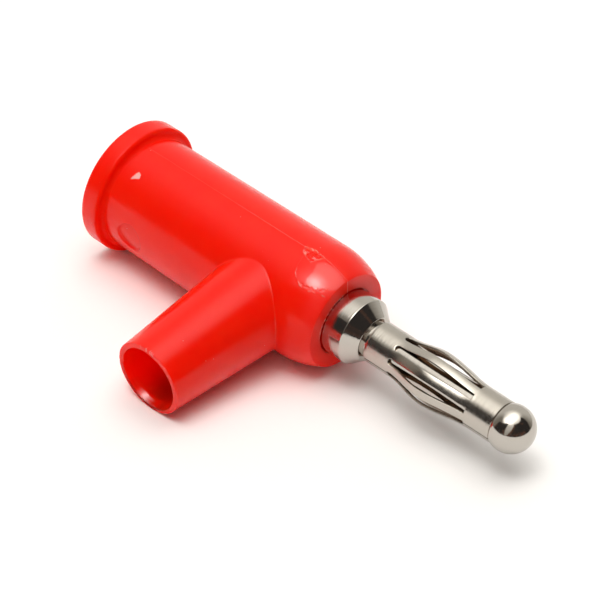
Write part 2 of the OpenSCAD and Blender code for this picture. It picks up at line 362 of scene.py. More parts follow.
def finish_mesh(bm, name, material, sharp_deg):
    """Mesh object from a bmesh in the plug's frame."""
    bmesh.ops.remove_doubles(bm, verts=bm.verts, dist=MERGE)
    bmesh.ops.dissolve_degenerate(bm, edges=bm.edges, dist=THIN)
    bmesh.ops.recalc_face_normals(bm, faces=bm.faces)
    mesh = bpy.data.meshes.new(name)
    bm.to_mesh(mesh)
    bm.free()
    mesh.transform(PLUG)
    mesh.materials.append(material)
    shaded(mesh, sharp_deg)
    obj = bpy.data.objects.new(name, mesh)
    bpy.context.scene.collection.objects.link(obj)
    return obj


def soften(corners):
    """Outline of (x, r, cut): each corner with a cut is rounded, with a point on either side of it
    that keeps the flats flat."""
    out = []
    for i, (x, r, cut) in enumerate(corners):
        here = Vector((x, r))
        if cut == 0:
            out.append(here)
            continue
        to_last = (Vector(corners[i - 1][:2]) - here).normalized()
        to_next = (Vector(corners[i + 1][:2]) - here).normalized()
        a = here + to_last * cut
        b = here + to_next * cut
        out.append(a + to_last * cut / 2)
        out += bend(a, here, b, CORNER_STEPS)
        out.append(b + to_next * cut / 2)
    return out


def bend(a, corner, b, steps):
    """Points of a curve that leaves a and reaches b along the two sides of a corner."""
    parts = [k / steps for k in range(steps + 1)]
    return [(1 - t) ** 2 * a + 2 * t * (1 - t) * corner + t * t * b for t in parts]


def turned(outline):
    """Solid turned about the plug's axis from an outline that starts and ends on it."""
    bm = bmesh.new()
    turns = [2 * math.pi * k / TURN_STEPS for k in range(TURN_STEPS)]
    rings = []
    for x, r in outline:
        if r < NEAR:
            rings.append([bm.verts.new((x, 0, 0))])
            continue
        rings.append([bm.verts.new((x, r * math.cos(t), r * math.sin(t))) for t in turns])
    skinned(bm, rings, False)
    return bm


def joined(obj, tool, operation, sharp_deg):
    """Adds a solid to another, or takes it away."""
    mod = obj.modifiers.new("join", "BOOLEAN")
    mod.operation = operation
    mod.solver = "EXACT"
    mod.object = tool
    held = obj.evaluated_get(bpy.context.evaluated_depsgraph_get())
    mesh = bpy.data.meshes.new_from_object(held)
    obj.modifiers.clear()
    obj.data = mesh
    bpy.data.objects.remove(tool)
    closed(mesh)
    shaded(mesh, sharp_deg)


def closed(mesh):
    """Clears slivers from a mesh, fills the pinholes that they leave, and joins edges that are split."""
    bm = bmesh.new()
    bm.from_mesh(mesh)
    bmesh.ops.remove_doubles(bm, verts=bm.verts, dist=SLIVER * MM)
    bmesh.ops.dissolve_degenerate(bm, edges=bm.edges, dist=SLIVER * MM)
    bmesh.ops.holes_fill(bm, edges=[e for e in bm.edges if e.is_boundary], sides=0)
    bmesh.ops.dissolve_verts(bm, verts=[v for v in bm.verts if len(v.link_edges) == 2])
    bm.to_mesh(mesh)
    bm.free()


def sleeve_cutter(outline, material):
    """Solid turned about the sleeve's axis, from (distance from the plug's axis, radius)."""
    bm = turned(outline)
    bm.transform(Matrix.Translation((SLEEVE_X, 0, 0)) @ Matrix.Rotation(math.radians(-90), 4, "Z"))
    return finish_mesh(bm, "cutter", material, PLATE_SHARP)


def skinned(bm, rings, around):
    """Faces between rings of vertices, which may be single points at the ends."""
    after = rings[1:] + rings[:1] if around else rings[1:]
    steps = max(len(ring) for ring in rings)
    for a, b in zip(rings, after):
        for k in range(steps):
            j = (k + 1) % steps
            corners = [a[k % len(a)], a[j % len(a)], b[j % len(b)], b[k % len(b)]]
            bm.faces.new(list(dict.fromkeys(corners)))


def stations(spans):
    """Numbers along spans of (from, to, step), without the last end."""
    out = []
    for start, stop, step in spans:
        count = round((stop - start) / step)
        out += [start + (stop - start) * k / count for k in range(count)]
    return out


def arc(x, r, radius, from_deg, to_deg, steps):
    turns = [math.radians(from_deg + (to_deg - from_deg) * k / steps) for k in range(steps + 1)]
    return [Vector((x + radius * math.cos(a), r + radius * math.sin(a))) for a in turns]


def smooth(low, high, value):
    """0 at low and 1 at high, with a soft start and end."""
    t = max(0, min(1, (value - low) / (high - low)))
    return t * t * (3 - 2 * t)


def ridge(distance, width):
    """1 on a line, fading to 0 on both sides of it."""
    return math.exp(-(distance / width) ** 2)


def ripple(scale, *place):
    """Noise from -1 to 1."""
    return noise.noise(Vector(place) * scale)


# Moulding

def body_r(x):
    if x <= NOSE_X:
        return BODY_REAR_R + (BODY_FRONT_R - BODY_REAR_R) * x / NOSE_X
    return BODY_FRONT_R - NOSE_ARC_R + math.sqrt(NOSE_ARC_R ** 2 - (x - NOSE_X) ** 2)


def body_normal(x, turn):
    step = 0.01
    slope = (body_r(x + step) - body_r(x - step)) / (2 * step)
    return Vector((-slope, math.cos(turn), math.sin(turn))).normalized()


def body_outline():
    """Closed outline of the flange, the body, the nose and the hole for the core."""
    rim = FLANGE_R - FLANGE_EDGE
    fillet_r = BODY_REAR_R + ROOT_FILLET
    outline = [Vector((0, r)) for r in REAR_FACE_RINGS]
    outline += arc(FLANGE_EDGE, rim, FLANGE_EDGE, 180, 90, 6)
    outline += [Vector((x, FLANGE_R)) for x in RIM_ROWS]
    outline += arc(FLANGE_T - FLANGE_EDGE, rim, FLANGE_EDGE, 90, 0, 6)
    outline += arc(FLANGE_T + ROOT_FILLET, fillet_r, ROOT_FILLET, 180, 255, 8)
    outline += [Vector((x, body_r(x))) for x in stations(BODY_ROWS)]
    nose_edge = [(NOSE_LAST_X, body_r(NOSE_LAST_X), 0), (BODY_LEN, NOSE_FACE_R, 0.05), (BODY_LEN, 4.0, 0)]
    outline += soften(nose_edge)
    outline += [Vector((BODY_LEN, r)) for r in NOSE_FACE_RINGS]
    outline += soften([(BODY_LEN, 2.99, 0), (BODY_LEN, FRONT_RECESS_R, 0.045), (24.17, FRONT_RECESS_R, 0)])
    inside = [
        (FLASH_X, FRONT_RECESS_R), (FLASH_X, SEAT_R), (23.5, SEAT_R), (17.0, SEAT_R),
        (GROOVE_TO, SEAT_R), (GROOVE_TO, GROOVE_R), (GROOVE_TO - 0.02, GROOVE_R), (GROOVE_FROM, SEAT_R),
        (5.5, SEAT_R), (REAR_RECESS_X, SEAT_R), (REAR_RECESS_X, REAR_RECESS_R),
        (2.0, REAR_RECESS_R), (1.0, REAR_RECESS_R),
    ]
    outline += [Vector(c) for c in inside]
    wide = REAR_RECESS_R + REAR_CHAMFER
    rear_edge = [(0.6, REAR_RECESS_R, 0), (REAR_CHAMFER, REAR_RECESS_R, 0.05), (0, wide, 0.05), (0, 3.64, 0)]
    outline += soften(rear_edge)[:-1]
    return outline


def moulding_body():
    turns = [math.radians(a) for a in stations(BODY_TURNS)]
    bm = bmesh.new()
    rings = [[bm.verts.new((x, r * math.cos(a), r * math.sin(a))) for a in turns] for x, r in body_outline()]
    skinned(bm, rings, True)
    return finish_mesh(bm, "moulding", RED, RED_SHARP)


def sleeve_r(reach):
    return MOUTH_R + (SLEEVE_REACH - reach) * math.tan(SLEEVE_DRAFT)


def sleeve_point(reach, r, turn):
    return Vector((SLEEVE_X + r * math.cos(turn), -reach, r * math.sin(turn)))


def junction(turn):
    """Where a line along the outside of the sleeve meets the body."""
    reach = 4.0
    for _ in range(40):
        p = sleeve_point(reach, sleeve_r(reach), turn)
        reach = math.sqrt(body_r(p.x) ** 2 - p.z ** 2)
    return sleeve_point(reach, sleeve_r(reach), turn)


def sleeve_column(turn):
    """Points along the sleeve's outside: hidden root, small fillet, taper and the mouth's rim."""
    foot = junction(turn)
    run = junction(turn + 0.01) - junction(turn - 0.01)
    out = Vector((math.cos(turn), 0, math.sin(turn)))
    up = body_normal(foot.x, math.atan2(foot.z, foot.y))
    away = up.cross(run).normalized()
    if away.dot(out) < 0:
        away = -away
    along = (sleeve_point(10, sleeve_r(10), turn) - sleeve_point(5, sleeve_r(5), turn)).normalized()
    a = foot + away * JUNCTION_FILLET - up * JUNCTION_UNDER
    b = foot + along * JUNCTION_FILLET
    column = [foot - up * 0.4 - out * 0.3]
    column += bend(a, foot, b, FILLET_STEPS)
    start, stop = -b.y, SLEEVE_REACH - MOUTH_BAND
    for i in range(1, SLEEVE_ROWS + 1):
        reach = start + (stop - start) * i / SLEEVE_ROWS
        column.append(sleeve_point(reach, sleeve_r(reach), turn))
    for reach, r in rim_outline():
        column.append(sleeve_point(reach, r, turn))
    return column


def moulding_sleeve():
    """Cable sleeve without its bore; its fillet ends just under the body's surface."""
    columns = [sleeve_column(2 * math.pi * k / SLEEVE_STEPS) for k in range(SLEEVE_STEPS)]
    bm = bmesh.new()
    rings = [[bm.verts.new(c[i]) for c in columns] for i in range(len(columns[0]))]
    first = [bm.verts.new((SLEEVE_X, -SLEEVE_ROOT, 0))]
    last = [bm.verts.new((SLEEVE_X, -SLEEVE_REACH, 0))]
    skinned(bm, [first] + rings + [last], False)
    return finish_mesh(bm, "sleeve", RED, RED_SHARP)


def rim_outline():
    """(reach, radius) over the outer edge of the sleeve's mouth."""
    before = SLEEVE_REACH - 0.22
    edge = [(before, sleeve_r(before), 0), (SLEEVE_REACH, MOUTH_R, 0.05)]
    return soften(edge + [(SLEEVE_REACH, r, 0) for r in MOUTH_RINGS])


# Marks of the mould and of use on the moulding, some of them with painted highlights
# A place on the body is x and the distance s from its top line

def rounded(corners, rounds):
    """Polygon with its corners cut off again and again."""
    for _ in range(rounds):
        cut = []
        for a, b in zip(corners, corners[1:] + corners[:1]):
            a, b = Vector(a), Vector(b)
            cut += [a.lerp(b, 0.25), a.lerp(b, 0.75)]
        corners = cut
    return corners


GATE = [(19.85, -0.1), (20.15, 0.45), (20.59, 0.62), (21.31, 0.82), (21.78, -0.2), (20.64, -0.34)]
GATE_DROP, GATE_ROUGH, GATE_EDGE, GATE_EDGE_W = 0.03, 0.15, 0.08, 0.06
INSERT = rounded([(20.3, -0.3), (20.45, 1.0), (20.85, 2.2), (21.5, 2.7), (22.1, 2.98), (22.6, 3.0),
                  (23.2, 2.7), (23.95, 2.5), (24.6, 2.5), (24.6, -0.22), (21.7, -0.26)], 2)
INSERT_STEP, INSERT_RAGGED, INSERT_EDGE_W = 0.014, 0.05, 0.04
POLISH = rounded([(21.7, 0.5), (22.05, 1.15), (22.0, 2.4), (22.6, 2.7), (23.5, 2.35), (24.5, 1.2),
                  (24.5, -0.1), (23.21, -0.12), (22.27, -0.1)], 1)
SCRATCHES = [(22.04, 2.72), (22.4, 2.7), (22.69, 2.58), (23.03, 2.5), (23.42, 2.28), (23.66, 1.85)]
SCRATCH_RISE, SCRATCH_W = 0.05, 0.1
CHIP = [(3.22, 3.14), (3.36, 2.5), (3.52, 2.27), (3.84, 2.4), (3.96, 2.72)]
CHIP_DEPTH = 0.03
EJECTOR_X, EJECTOR_Z, EJECTOR_R, EJECTOR_DEPTH = 4.88, -0.1, 1.25, 0.2
EJECTOR_WALL, EJECTOR_HIGHLIGHT = 0.06, 0.1
WAVE_RISE = 0.003
PARTING_RISE, PARTING_W, PARTING_PALE = 0.04, 0.032, 0.2
UNDER_RISE, UNDER_W = 0.02, 0.06
FACE_PARTING_Y, FACE_PARTING_RISE, FACE_PARTING_W = 0.15, 0.02, 0.04
FLASH_RISE, FLASH_OUT, FLASH_W, FLASH_REACH = 0.05, 0.06, 0.08, 0.07
RIM_FLASH, RIM_NICK, RIM_WAVE = 0.04, 0.06, 0.003
FLARE_TURN = math.radians(-108)
FLARE_SLOPE, FLARE_DEPTH, FLARE_START = 0.38, 0.72, 0.15
FLARE_GROOVE, FLARE_GROOVE_STEP = 0.004, 0.3
GLINT_TURN, GLINT_DEPTH = 0.6, 0.9


def from_edge(here, a, b):
    """Distance of a point from a straight edge."""
    along = b - a
    part = max(0, min(1, (here - a).dot(along) / along.length_squared))
    return (here - a - along * part).length


def inside_by(x, s, corners):
    """Distance from the edge of a polygon, in mm; positive inside."""
    here = Vector((x, s))
    inside, near = False, math.inf
    for a, b in zip(corners, corners[1:] + corners[:1]):
        a, b = Vector(a), Vector(b)
        near = min(near, from_edge(here, a, b))
        if (a.y > s) != (b.y > s) and x < a.x + (b.x - a.x) * (s - a.y) / (b.y - a.y):
            inside = not inside
    return near if inside else -near


def line_distance(x, s, corners):
    here = Vector((x, s))
    return min(from_edge(here, Vector(a), Vector(b)) for a, b in zip(corners, corners[1:]))


def parting_line(x, s):
    """Strength of the mould's parting line, near the top of the body; it shows most near the nose."""
    place = -0.1 - 0.14 * smooth(20.2, 21.6, x) + 0.02 * ripple(0.9, x, 0, 3)
    strength = (0.3 + 0.7 * smooth(9, 19, x)) * (0.75 + 0.4 * ripple(1.7, x, 1, 5))
    return strength * (1 - 0.5 * smooth(21.4, 22, x)) * ridge(s - place, PARTING_W)


def gate_marks(x, s):
    """Height of the scar where the gate was cut off, and paleness that is painted highlight on its raised rough
    bits and raised edge.
    """
    inside = inside_by(x, s, GATE)
    gate = smooth(-0.03, 0.05, inside)
    rough = ripple(3.2, x, s, 2) + 0.7 * ripple(7, x, s, 4)
    edge = ridge(inside, GATE_EDGE_W) * (0.6 + 0.8 * ripple(4, x, s, 13))
    rise = gate * (-GATE_DROP + GATE_ROUGH * rough) + GATE_EDGE * edge
    # The paleness is painted highlight on the scar's raised bits and edge.
    return rise, 0.5 * gate * smooth(0.1, 0.6, rough) + 0.35 * max(0, edge)


def insert_marks(x, s):
    """Height of the patch that a mould insert left on the nose, paleness that is painted glints on its ragged
    border and on its scratches, and whether it is polished.
    """
    wobble = 0.05 * ripple(3, x, s, 6) + 0.03 * ripple(9, x, s, 8)
    depth = inside_by(x, s, INSERT) + wobble
    ragged = max(0, 0.2 + 1.4 * ripple(3.5, x, s, 9)) * smooth(1.7, 2.3, s)
    border = ridge(depth, INSERT_EDGE_W)
    scratched = ridge(line_distance(x, s, SCRATCHES), SCRATCH_W)
    flecks = ripple(5, x, s, 1) + 0.5 * ripple(10, x, s, 11)
    rise = INSERT_STEP * smooth(-0.03, 0.03, depth) + INSERT_RAGGED * ragged * border
    rise += SCRATCH_RISE * scratched * flecks
    # Painted glints: pale along the ragged border and on the scratches' flecks.
    pale = (0.03 + 0.55 * ragged) * border + 0.3 * scratched * smooth(0.25, 0.6, flecks)
    return rise, pale, inside_by(x, s, POLISH) + wobble > 0


def body_marks(x, s, z):
    """Height and paleness of all the marks on the body, with painted highlights and glints in the paleness, and
    whether it is polished there.
    """
    seam = parting_line(x, s)
    under = abs(s) - math.pi * BODY_FRONT_R
    rise = WAVE_RISE * ripple(0.35, x, s, 7) + PARTING_RISE * seam + UNDER_RISE * ridge(under, UNDER_W)
    pale = PARTING_PALE * seam
    polished = False
    if x > 19.5 and -0.6 < s < 3.4:
        gate_rise, gate_pale = gate_marks(x, s)
        insert_rise, insert_pale, polished = insert_marks(x, s)
        rise += gate_rise + insert_rise
        pale += gate_pale + insert_pale
    if x < 7 and 5.5 < s < 10.5:
        out = math.hypot(x - EJECTOR_X, z - EJECTOR_Z) - EJECTOR_R
        rise -= EJECTOR_DEPTH * smooth(EJECTOR_WALL, -EJECTOR_WALL, out)
        # Painted highlight: a pale line round the ring's edge, only on its side towards the nose.
        pale += EJECTOR_HIGHLIGHT * ridge(out - 0.03, 0.05) * smooth(0.3, 0.9, x - EJECTOR_X)
    if x < 5 and 2 < s < 3.4:
        chip = smooth(-0.02, 0.04, inside_by(x, s, CHIP) + 0.03 * ripple(5, x, s, 3))
        rise -= CHIP_DEPTH * chip
        pale = max(pale, chip)
    return rise, pale, polished


def face_marks(y, z):
    """Height, paleness and inward reach on the nose face: parting line, and flash round the recess."""
    r = math.hypot(y, z)
    turn = math.atan2(z, y)
    seam = ridge(y - FACE_PARTING_Y, FACE_PARTING_W) * (z > 0)
    flash = max(0, ripple(2.6, turn * 3, 2, 5) + 0.6 * ripple(7, turn * 3, r * 2, 1))
    flash *= smooth(1.5, 1.9, turn) * smooth(3.1, 2.6, turn) * ridge(r - FRONT_RECESS_R - FLASH_OUT, FLASH_W)
    near = smooth(FRONT_RECESS_R + 0.07, FRONT_RECESS_R + 0.01, r)
    along = smooth(1.6, 1.8, turn) * smooth(2.75, 2.5, turn)
    ragged = 0.5 + ripple(2.2, turn * 3, 4, 5) + 0.5 * ripple(6, turn * 3, 4, 1)
    rise = FACE_PARTING_RISE * seam + FLASH_RISE * flash
    pale = 0.2 * seam + min(0.9, flash) + 0.8 * along * near * smooth(0.8, 1.1, ragged)
    return rise, pale, FLASH_REACH * near * along * max(0, min(1, ragged))


def rim_marks(reach, r, turn):
    """Ragged flash on the outer edge of the sleeve's mouth: a change of its radius, and paleness."""
    if reach < SLEEVE_REACH - 0.25 or r < CABLE_R + 0.2:
        return 0.0, 0.0
    top = smooth(0.7, 1.1, turn) * smooth(2.0, 1.6, turn)
    left = smooth(2.3, 2.7, abs(turn))
    ragged = ripple(2.6, turn * 4, 0, 1) + 0.6 * ripple(6, turn * 4, 0, 2)
    near = smooth(SLEEVE_REACH - 0.12, SLEEVE_REACH - 0.04, reach)
    flash = max(0, ragged) * top * near
    nicks = near * (RIM_NICK * min(0, ragged + 0.4) * left + RIM_WAVE * ragged)
    return RIM_FLASH * flash + nicks, min(0.35, 0.6 * smooth(0.1, 0.5, flash))


def flare(depth, turn):
    """How far the bore's mouth is worn out, at a depth below the rim; most at its lower left."""
    up = FLARE_DEPTH - depth
    if up <= -FLARE_START:
        return 0.0
    run = up if up > FLARE_START else (up + FLARE_START) ** 2 / (4 * FLARE_START)
    grooves = FLARE_GROOVE * math.sin(2 * math.pi * depth / FLARE_GROOVE_STEP) * smooth(0, 0.1, run)
    return (FLARE_SLOPE * run + grooves) * max(0, math.cos((turn - FLARE_TURN) * 0.8)) ** 2


def widened(p, change):
    """Point moved away from the sleeve's axis."""
    aside = math.hypot(p.x - SLEEVE_X, p.z)
    return p + Vector(((p.x - SLEEVE_X) / aside * change, 0, p.z / aside * change))


def mould_marks_and_painted_light(obj):
    """Moves the moulding's vertices by its marks, notes their paleness with its painted highlights and glints, and
    sets the polished and rough finishes and the lit copy of the red in the bore.
    """
    back = PLUG.inverted()
    mesh = obj.data
    notes = mesh.attributes.new("pale", "FLOAT", "POINT")
    shiny, root, bore = set(), set(), set()
    for v in mesh.vertices:
        p = back @ v.co
        turn, r = math.atan2(p.z, p.y), math.hypot(p.y, p.z)
        reach, aside = -p.y, math.hypot(p.x - SLEEVE_X, p.z)
        aim = math.atan2(p.z, p.x - SLEEVE_X)
        pale = 0.0
        if FLANGE_T - FLANGE_EDGE < p.x < FLANGE_T + ROOT_FILLET + NEAR and r > BODY_REAR_R:
            root.add(v.index)
        # Painted light: the bore's faces get the lit copy of the red.
        if reach > CABLE_FLOOR - NEAR and aside < CABLE_R + 0.03:
            bore.add(v.index)
        if FLANGE_T + ROOT_FILLET < p.x < BODY_LEN - 0.02 and abs(r - body_r(p.x)) < 0.004:
            s = (turn - math.pi / 2) * BODY_FRONT_R
            if s < -math.pi * BODY_FRONT_R:
                s += 2 * math.pi * BODY_FRONT_R
            rise, pale, polished = body_marks(p.x, s, p.z)
            p += body_normal(p.x, turn) * rise
            if polished:
                shiny.add(v.index)
        elif p.x > BODY_LEN - 0.06 and FRONT_RECESS_R - 0.01 < r < NOSE_FACE_R:
            rise, pale, inward = face_marks(p.y, p.z)
            p += Vector((rise, -inward * p.y / r, -inward * p.z / r))
        elif reach > SLEEVE_REACH - MOUTH_BAND and aside < MOUTH_R + 0.05:
            change, pale = rim_marks(reach, aside, aim)
            p = widened(p, change)
        if reach > SLEEVE_REACH - 1.2 and CABLE_R - 0.05 < aside < CABLE_R + 0.1:
            p = widened(p, flare(SLEEVE_REACH - reach, aim))
            if abs(aim - FLARE_TURN) < GLINT_TURN and reach > SLEEVE_REACH - GLINT_DEPTH:
                shiny.add(v.index)
        notes.data[v.index].value = pale
        v.co = PLUG @ p
    finishes_and_lit_bore = [(RED_POLISHED, shiny), (RED_ROOT, root), (RED_BORE_LIT, bore)]
    for slot, (material, places) in enumerate(finishes_and_lit_bore, 1):
        mesh.materials.append(material)
        for face in mesh.polygons:
            if face.material_index == 0 and places.issuperset(face.vertices):
                face.material_index = slot


# Pieces

def housing():
    """Moulding: flange, body and nose with the sleeve, its bore and the passage for the wire."""
    obj = moulding_body()
    joined(obj, moulding_sleeve(), "UNION", RED_SHARP)
    wall = [(reach, CABLE_R) for reach in stations(BORE_ROWS)]
    lip = [(SLEEVE_REACH - 0.06, CABLE_R), (SLEEVE_REACH - 0.02, CABLE_R + 0.02)]
    lip.append((SLEEVE_REACH, CABLE_R + 0.06))
    past = SLEEVE_REACH + 0.95
    bore = [(CABLE_FLOOR, 0)] + wall + lip + [(past, CABLE_R + 0.1), (past, 0)]
    joined(obj, sleeve_cutter(bore, RED), "DIFFERENCE", RED_SHARP)
    past = CABLE_FLOOR + 0.5
    passage = [(0, 0), (0, PASSAGE_R), (past, PASSAGE_R), (past, 0)]
    joined(obj, sleeve_cutter(passage, RED), "DIFFERENCE", RED_SHARP)
    mould_marks_and_painted_light(obj)
    return obj


def contact_core():
    """Turned core from its drilled rear to the ball, with the hole for the wire."""
    corners = [
        (DRILL_TIP, 0, 0),
        (TAP_TO, TAP_R, 0),
        (TAP_FROM, TAP_R, 0.05),
        (TAP_FROM, SOCKET_R, 0),
        (CORE_REAR + CORE_CHAMFER, SOCKET_R, 0.05),
        (CORE_REAR, SOCKET_R + CORE_CHAMFER, 0.05),
        (CORE_REAR, BARREL_R - CORE_CHAMFER, 0.05),
        (CORE_REAR + CORE_CHAMFER, BARREL_R, 0.05),
        (SNAP_FROM, BARREL_R, 0),
        (SNAP_TO, SNAP_R, 0.04),
        (SNAP_TO, BARREL_R, 0),
        (COLLAR_END, BARREL_R, 0.035),
        (CONE_END, CONE_R, 0.06),
        (CONE_END, NECK_R, 0),
        (SHOULDER_X, NECK_R, 0),
        (SHOULDER_X, SHOULDER_R, 0),
    ]
    outline = soften(corners)
    first = math.acos((SHOULDER_X - BALL_X) / BALL_R)
    for k in range(1, BALL_STEPS):
        a = first * (1 - k / BALL_STEPS)
        outline.append(Vector((BALL_X + BALL_R * math.cos(a), BALL_R * math.sin(a))))
    outline.append(Vector((BALL_X + BALL_R, 0)))
    obj = finish_mesh(turned(outline), "core_turned", PLATE, PLATE_SHARP)
    past = BARREL_R + 1
    hole = [(0, 0), (0, WIRE_HOLE_R), (past, WIRE_HOLE_R), (past, 0)]
    joined(obj, sleeve_cutter(hole, PLATE), "DIFFERENCE", PLATE_SHARP)
    return obj


def bow(x):
    """How far the leaves stand out at a distance from the basket's rear end."""
    u = x - BOW_FROM
    if u <= 0 or u >= BOW_LEN:
        return 0.0
    part = u / BOW_CREST if u < BOW_CREST else (BOW_LEN - u) / (BOW_LEN - BOW_CREST)
    return BOW_RISE * math.sin(math.pi / 2 * part) ** 2


def bevel(x, side):
    """How far a slot's worn edge lies below the sheet; side is the distance from the slot's middle line."""
    centre = SLOT_FROM + SLOT_HALF
    beyond = max(0, x - SLOT_TO)
    if x < centre:
        away = math.hypot(x - centre, side) - SLOT_HALF
    else:
        away = math.hypot(beyond, max(0, side - SLOT_HALF))
    return BEVEL_DROP * max(0, min(1, 1 - away / BEVEL_W))


def slot_stations():
    """(distance from the rear end, half width of a slot) along the basket."""
    out = [(x, 0.0) for x in REAR_RING_ROWS]
    for k in range(SLOT_END_STEPS + 1):
        a = math.pi / 2 * k / SLOT_END_STEPS
        out.append((SLOT_FROM + SLOT_HALF * (1 - math.cos(a)), SLOT_HALF * math.sin(a)))
    start, stop = SLOT_FROM + SLOT_HALF, SLOT_TO - SLOT_CORNER
    for k in range(1, SLOT_STEPS + 1):
        out.append((start + (stop - start) * k / SLOT_STEPS, SLOT_HALF))
    for k in range(1, SLOT_CORNER_STEPS + 1):
        a = math.pi / 2 * k / SLOT_CORNER_STEPS
        out.append((stop + SLOT_CORNER * math.sin(a), SLOT_HALF - SLOT_CORNER * (1 - math.cos(a))))
    out.append((SLOT_TO + 0.002, 0.0))
    out += [(SLOT_TO + more, 0.0) for more in PAST_SLOT_ROWS]
    start, stop = SLOT_TO + PAST_SLOT_END, BASKET_LEN - FRONT_CUT
    for k in range(FRONT_RING_STEPS + 1):
        out.append((start + (stop - start) * k / FRONT_RING_STEPS, 0.0))
    out.append((BASKET_LEN, 0.0))
    return out


def edge_gaps(leaf, half):
    """Half widths of the gaps on both sides of a leaf; the seam is open along the whole basket."""
    left = max(half, SEAM_HALF) if leaf == 0 else half
    right = max(half, SEAM_HALF) if leaf == LEAVES - 1 else half
    return left, right


def edge_drop(x, u, gap):
    """How far the sheet's cut edges lie below its outer skin."""
    drop = 0.0
    if u in (0, 1):
        drop += min(EDGE_CUT, gap)
    if x == 0:
        drop += EDGE_CUT
    if x == BASKET_LEN:
        drop += FRONT_CUT
    return drop


def leaf_point(leaf, x, half, u, inside):
    """Point on a leaf's outer or inner skin, at x from the rear end and u from 0 to 1 across the leaf."""
    left, right = SEAM_TURN + leaf * LEAF_PITCH, SEAM_TURN + (leaf + 1) * LEAF_PITCH
    left_gap, right_gap = edge_gaps(leaf, half)
    start, stop = left + left_gap / RING_R, right - right_gap / RING_R
    turn = start + (stop - start) * u
    r = RING_R - SHEET_T
    if not inside:
        r = RING_R - edge_drop(x, u, left_gap if u < 0.5 else right_gap)
        r -= bevel(x, min(turn - left, right - turn) * RING_R)
    p = Vector((BASKET_FROM + x, r * math.cos(turn), r * math.sin(turn)))
    aim = (left + right) / 2 if half else turn
    out = Vector((0, math.cos(aim), math.sin(aim)))
    pivot = Vector((p.x, 0, 0)) + out * (RING_R - SHEET_T / 2)
    twist = TWISTS[leaf] * smooth(*TWIST_START, x) * smooth(*TWIST_END, x)
    return Matrix.Rotation(twist, 3, "X") @ (p - pivot) + pivot + bow(x) * out


def leaf_skin(bm, bare, leaf, rows, across, inside):
    """Rows of vertices on a leaf's outer or inner skin, with the painted shade noted on the inner skin and the
    front cut edge.
    """
    skin = []
    for x, half in rows:
        row = [bm.verts.new(leaf_point(leaf, x, half, u, inside)) for u in across]
        for vert in row:
            # Painted shade: all of the inner skin, and most of the front cut edge.
            vert[bare] = 1.0 if inside else FRONT_EDGE_SHADE * (x == BASKET_LEN)
        skin.append(row)
    return skin


def spring_basket():
    """Rolled sheet with nine bowed leaves, as an outer and an inner skin joined along all edges."""
    rows = slot_stations()
    across = HALF_LEAF + [0.5] + [1 - u for u in reversed(HALF_LEAF)]
    last = len(across) - 1
    bm = bmesh.new()
    bare = bm.verts.layers.float.new("bare")
    for leaf in range(LEAVES):
        outer = leaf_skin(bm, bare, leaf, rows, across, False)
        inner = leaf_skin(bm, bare, leaf, rows, across, True)
        for k in range(len(rows) - 1):
            for c in range(last):
                bm.faces.new((outer[k][c], outer[k][c + 1], outer[k + 1][c + 1], outer[k + 1][c]))
                bm.faces.new((inner[k][c], inner[k + 1][c], inner[k + 1][c + 1], inner[k][c + 1]))
            for c, seam in ((0, leaf == 0), (last, leaf == LEAVES - 1)):
                if seam or rows[k][1] > 0 or rows[k + 1][1] > 0:
                    bm.faces.new((outer[k][c], outer[k + 1][c], inner[k + 1][c], inner[k][c]))
        for k in (0, len(rows) - 1):
            for c in range(last):
                bm.faces.new((outer[k][c], outer[k][c + 1], inner[k][c + 1], inner[k][c]))
    return finish_mesh(bm, "basket_rolled", SHEET, SHEET_SHARP)


core = contact_core()
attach(core, "plug")
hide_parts("contact_core")

basket = spring_basket()
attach(basket, "basket")
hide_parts("spring_basket")

shell = housing()
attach(shell, "plug")
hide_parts("housing")

screw = frame["nodes"]["clamp_screw"]
screw.data.materials.clear()
screw.data.materials.append(STEEL)


# Floor, light and camera

FLOOR_HALF = 1.5
FLOOR_ROUGH = 0.8
FLOOR_LIT, FLOOR_MIRRORED, FLOOR_SEEN = (0.98, 0.98, 0.98), (0.86, 0.86, 0.87), (1, 0.995, 1)

# The surroundings: edges in degrees, to the side of the camera's direction or above the horizon
CAMERA_SIDE = math.radians(49)
TENT_DIM, TENT_PALE = (0.24, 0.22, 0.19), (0.7, 0.68, 0.63)
TENT_BACK, TENT_TOP = (95, 140), (46, 64)
ROOM_DARK, ROOM_BROWN = (0.036, 0.032, 0.03), (0.15, 0.075, 0.05)
ROOM_TOP, ROOM_SLOPE_FROM, ROOM_SLOPE = (55.5, 58.5), -34, 0.42
ROOM_START, ROOM_END, ROOM_LEAN = (-90, -83), (86, 94), 0.34
FLAP_START, FLAP_END, FLAP_LEAN = (-35, -31), (-25, -22), 0.648
FLAP_LIGHT, FLAP_LOW = (0, 45), 0.4
BESIDE_START, BESIDE_END = (-26, -22), (-24, -6)
STREAK_SCALE, STREAK_RANGE = 3.2, (0.53, 0.68)

# The soft lamp above: centre and half width as tangents from straight up, strength, and how far it is even
LAMP_TINT = (1, 0.98, 0.94, 1)
GLOWS = [
    ((0.05, -0.05), (0.7, 0.78), 0.65, 0.5),
    ((0.04, -0.1), (0.38, 0.62), 1.1, 0.5),
    ((-0.2, -0.62), (0.33, 0.4), 1.2, 0.5),
    ((0.04, -0.33), (0.26, 0.3), 4.9, 0.1),
]
GLOW_END = 1.4
LOWEST = 0.1
LAMP_PLACE, LAMP_WIDTH, LAMP_DEPTH, LAMP_RADIANCE = (0.03, -0.2, 0.6), 0.12, 0.14, 3.0


